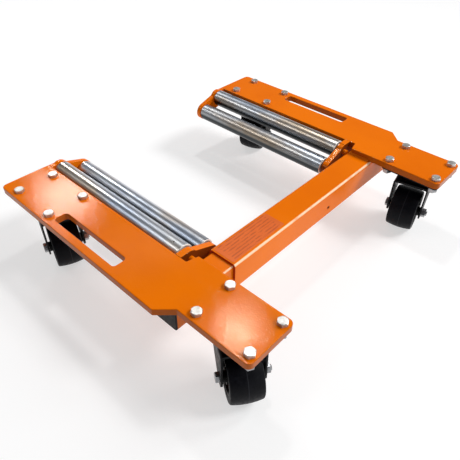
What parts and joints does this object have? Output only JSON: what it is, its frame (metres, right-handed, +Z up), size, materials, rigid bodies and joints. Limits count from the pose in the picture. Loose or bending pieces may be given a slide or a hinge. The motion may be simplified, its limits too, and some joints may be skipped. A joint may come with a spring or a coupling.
{
  "type": "roller wheel dolly",
  "caption": "Low vehicle wheel dolly: two flat plates on a telescopic square beam, with free steel rollers to cradle a tyre and swivel casters underneath.",
  "frame": {"origin": "on the floor under the casters, midway along the plates and midway between the two wings' mid-plane", "axes": "+Z up, X along the plates and rollers with the beam on the +X side, Y along the beam with the outer tube's wing on the +Y side"},
  "size_m": [0.6074, 0.702, 0.1484],
  "materials": {
    "plate": "gloss",
    "bracket": "gloss",
    "beam": "gloss",
    "cap": "satin",
    "label": "gloss",
    "screw": "black oxide",
    "roller": "bright zinc",
    "bush": "satin",
    "rod": "gloss",
    "bolt": "bright zinc",
    "caster_steel": "satin",
    "caster_bolt": "zinc",
    "tread": "satin",
    "hub": "satin"
  },
  "bodies": {
    "far_wing": {"far_plate": "plate", "outer_tube": "beam", "outer_tube_cap": "cap", "beam_weld": "beam", "beam_label": "label", "lock_screw": "screw", "far_left_bracket": "bracket", "far_right_bracket": "bracket", "far_outer_axle": "rod", "far_inner_axle": "rod", "far_caster_bolts": "bolt", "far_caster_nuts": "bolt", "far_left_caster_plate": "caster_steel", "far_right_caster_plate": "caster_steel", "far_left_kingpin": "caster_steel", "far_right_kingpin": "caster_steel"},
    "near_wing": {"near_plate": "plate", "inner_tube": "beam", "inner_tube_cap": "cap", "beam_shim": "beam", "near_left_bracket": "bracket", "near_right_bracket": "bracket", "near_outer_axle": "rod", "near_inner_axle": "rod", "near_caster_bolts": "bolt", "near_caster_nuts": "bolt", "near_left_caster_plate": "caster_steel", "near_right_caster_plate": "caster_steel", "near_left_kingpin": "caster_steel", "near_right_kingpin": "caster_steel"},
    "far_outer_roller": {"far_outer_roller": "roller", "far_outer_bushes": "bush"},
    "far_inner_roller": {"far_inner_roller": "roller", "far_inner_bushes": "bush"},
    "near_outer_roller": {"near_outer_roller": "roller", "near_outer_bushes": "bush"},
    "near_inner_roller": {"near_inner_roller": "roller", "near_inner_bushes": "bush"},
    "far_left_fork": {"far_left_fork": "caster_steel", "far_left_axle_bolt": "caster_bolt", "far_left_axle_nut": "caster_bolt"},
    "far_left_wheel": {"far_left_tyre": "tread", "far_left_hub": "hub"},
    "far_right_fork": {"far_right_fork": "caster_steel", "far_right_axle_bolt": "caster_bolt", "far_right_axle_nut": "caster_bolt"},
    "far_right_wheel": {"far_right_tyre": "tread", "far_right_hub": "hub"},
    "near_left_fork": {"near_left_fork": "caster_steel", "near_left_axle_bolt": "caster_bolt", "near_left_axle_nut": "caster_bolt"},
    "near_left_wheel": {"near_left_tyre": "tread", "near_left_hub": "hub"},
    "near_right_fork": {"near_right_fork": "caster_steel", "near_right_axle_bolt": "caster_bolt", "near_right_axle_nut": "caster_bolt"},
    "near_right_wheel": {"near_right_tyre": "tread", "near_right_hub": "hub"}
  },
  "joints": [
    {"name": "width_slide", "type": "slide", "parent": "far_wing", "child": "near_wing", "axis": [0, -1, 0], "range_m": [-0.02, 0.2]},
    {"name": "far_outer_spin", "type": "hinge", "parent": "far_wing", "child": "far_outer_roller", "pos_m": [-0.1055, 0.229, 0.1252], "axis": [1, 0, 0], "continuous": true},
    {"name": "far_inner_spin", "type": "hinge", "parent": "far_wing", "child": "far_inner_roller", "pos_m": [-0.1055, 0.1808, 0.1043], "axis": [1, 0, 0], "continuous": true},
    {"name": "near_outer_spin", "type": "hinge", "parent": "near_wing", "child": "near_outer_roller", "pos_m": [-0.1055, -0.229, 0.1252], "axis": [1, 0, 0], "continuous": true},
    {"name": "near_inner_spin", "type": "hinge", "parent": "near_wing", "child": "near_inner_roller", "pos_m": [-0.1055, -0.1808, 0.1043], "axis": [1, 0, 0], "continuous": true},
    {"name": "far_left_swivel", "type": "hinge", "parent": "far_wing", "child": "far_left_fork", "pos_m": [-0.209, 0.3, 0.12], "axis": [0, 0, 1], "continuous": true},
    {"name": "far_left_roll", "type": "hinge", "parent": "far_left_fork", "child": "far_left_wheel", "pos_m": [-0.20112, 0.27575, 0.045], "axis": [0.9511, 0.309, 0], "continuous": true},
    {"name": "far_right_swivel", "type": "hinge", "parent": "far_wing", "child": "far_right_fork", "pos_m": [0.2375, 0.276, 0.12], "axis": [0, 0, 1], "continuous": true},
    {"name": "far_right_roll", "type": "hinge", "parent": "far_right_fork", "child": "far_right_wheel", "pos_m": [0.2428, 0.25106, 0.045], "axis": [0.9781, 0.2079, 0], "continuous": true},
    {"name": "near_left_swivel", "type": "hinge", "parent": "near_wing", "child": "near_left_fork", "pos_m": [-0.209, -0.3, 0.12], "axis": [0, 0, 1], "continuous": true},
    {"name": "near_left_roll", "type": "hinge", "parent": "near_left_fork", "child": "near_left_wheel", "pos_m": [-0.18489, -0.3083, 0.045], "axis": [0.3256, 0.9455, 0], "continuous": true},
    {"name": "near_right_swivel", "type": "hinge", "parent": "near_wing", "child": "near_right_fork", "pos_m": [0.2375, -0.276, 0.12], "axis": [0, 0, 1], "continuous": true},
    {"name": "near_right_roll", "type": "hinge", "parent": "near_right_fork", "child": "near_right_wheel", "pos_m": [0.25852, -0.29044, 0.045], "axis": [0.5664, 0.8241, 0], "continuous": true}
  ]
}
